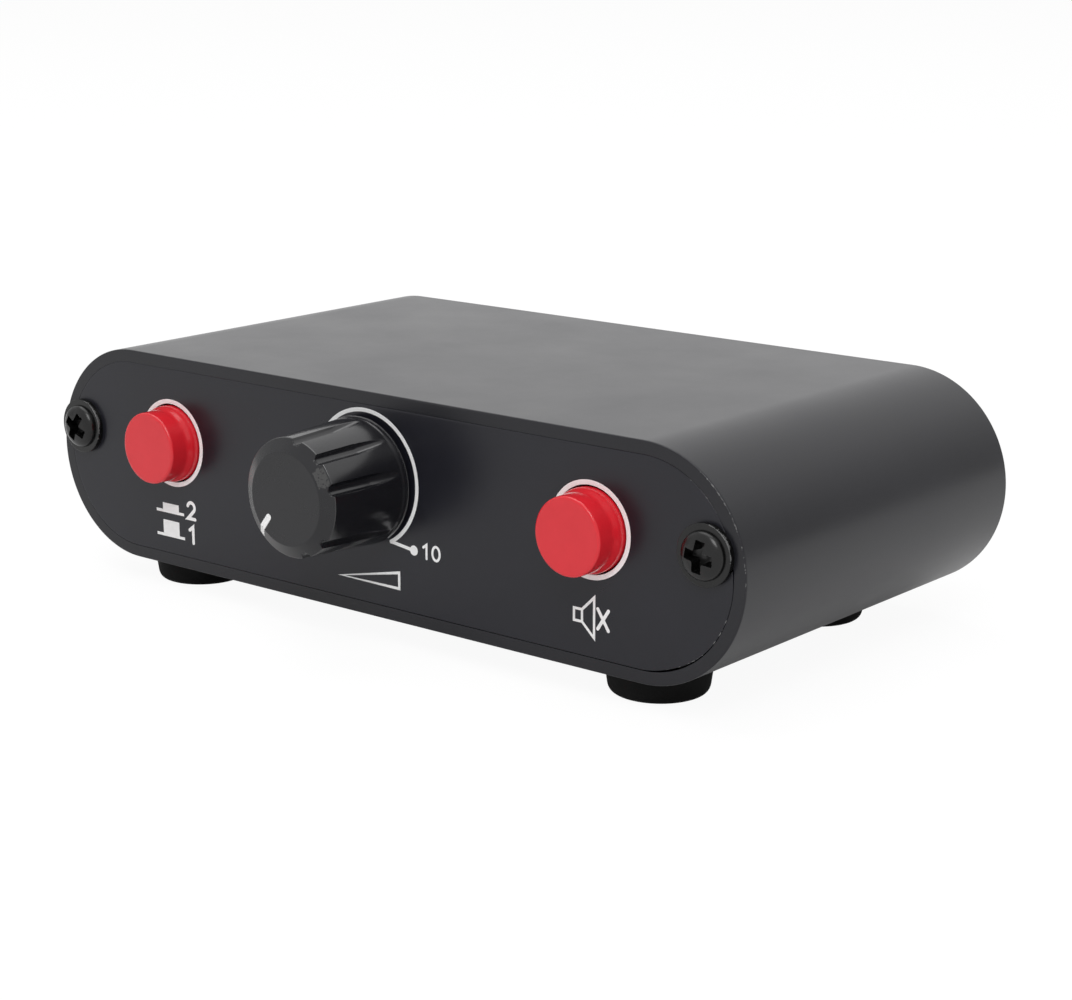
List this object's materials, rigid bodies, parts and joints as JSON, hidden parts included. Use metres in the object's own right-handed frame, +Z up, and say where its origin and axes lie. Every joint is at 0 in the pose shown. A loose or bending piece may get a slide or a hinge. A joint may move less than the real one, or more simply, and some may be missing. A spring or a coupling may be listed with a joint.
{
  "type": "audio source selector",
  "caption": "Low black desktop audio selector: rounded extruded case on rubber feet, latching red source and mute buttons, volume knob, and pairs of phono sockets behind.",
  "frame": {"origin": "under the feet, in the middle of the case's width and of the whole depth from knob front to socket mouths", "axes": "+X to the right as seen from the front, +Y from the front panel to the rear panel, +Z up"},
  "size_m": [0.112, 0.0796, 0.0316],
  "materials": {
    "shell_black": "satin black anodised",
    "panel_black": "satin black anodised",
    "screw_black": "gloss black plated",
    "foot_rubber": "matt moulded",
    "knob_black": "fine moulded, smooth front",
    "cap_red": "smooth moulded",
    "board_green": "lacquered",
    "black_plastic": "moulded",
    "white_plastic": "moulded",
    "nickel": "nickel plated",
    "sleeve_nickel": "bright nickel plated",
    "brass": "plain",
    "phenolic": "plain",
    "socket_white": "moulded",
    "socket_red": "moulded"
  },
  "bodies": {
    "case": {"case_shell": "shell_black", "front_panel": "panel_black", "rear_panel": "panel_black", "front_panel_screws": "screw_black", "rear_panel_screws": "screw_black", "foot_front_left": "foot_rubber", "foot_front_right": "foot_rubber", "foot_rear_left": "foot_rubber", "foot_rear_right": "foot_rubber", "circuit_board": "board_green", "pot_housing": "black_plastic", "pot_bushing": "nickel", "pot_washer": "nickel", "pot_nut": "nickel", "pot_front_element": "phenolic", "pot_rear_element": "phenolic", "pot_terminals": "nickel", "source_switch_frame": "black_plastic", "source_switch_cover": "nickel", "source_switch_terminals": "nickel", "source_switch_spring": "nickel", "mute_switch_frame": "black_plastic", "mute_switch_cover": "nickel", "mute_switch_terminals": "nickel", "mute_switch_spring": "nickel", "in_1_jack_body": "black_plastic", "in_2_jack_body": "black_plastic", "out_jack_body": "black_plastic", "in_1_jack_sleeves": "sleeve_nickel", "in_2_jack_sleeves": "sleeve_nickel", "out_jack_sleeves": "sleeve_nickel", "left_jack_inserts": "socket_white", "right_jack_inserts": "socket_red", "jack_centre_contacts": "brass"},
    "volume_control": {"volume_knob": "knob_black", "pot_shaft": "nickel", "pot_wipers": "brass"},
    "source_button": {"source_button_cap": "cap_red", "source_switch_plunger": "white_plastic", "source_switch_contacts": "brass"},
    "source_latch": {"source_switch_latch": "nickel"},
    "mute_button": {"mute_button_cap": "cap_red", "mute_switch_plunger": "white_plastic", "mute_switch_contacts": "brass"},
    "mute_latch": {"mute_switch_latch": "nickel"}
  },
  "joints": [
    {"name": "volume_turn", "type": "hinge", "parent": "case", "child": "volume_control", "pos_m": [0, -0.0262, 0.0208], "axis": [0, 1, 0], "range_deg": [-20, 280]},
    {"name": "source_press", "type": "slide", "parent": "case", "child": "source_button", "axis": [0, 1, 0], "range_m": [0, 0.0025], "stiffness_N_per_m": 400, "springref_m": -0.001, "deforming": ["source_switch_spring"]},
    {"name": "source_latch_swing", "type": "hinge", "parent": "case", "child": "source_latch", "pos_m": [-0.0346, -0.0082, 0.0202], "axis": [0, 0, 1], "range_deg": [-0.2, 6]},
    {"name": "mute_press", "type": "slide", "parent": "case", "child": "mute_button", "axis": [0, 1, 0], "range_m": [0, 0.0025], "stiffness_N_per_m": 400, "springref_m": -0.001, "deforming": ["mute_switch_spring"]},
    {"name": "mute_latch_swing", "type": "hinge", "parent": "case", "child": "mute_latch", "pos_m": [0.0346, -0.0082, 0.0202], "axis": [0, 0, 1], "range_deg": [-0.2, 6]}
  ],
  "couplings": [
    {"joint": "source_latch_swing", "follows": "source_press", "rad_per_m": 34.907},
    {"joint": "mute_latch_swing", "follows": "mute_press", "rad_per_m": 34.907}
  ]
}
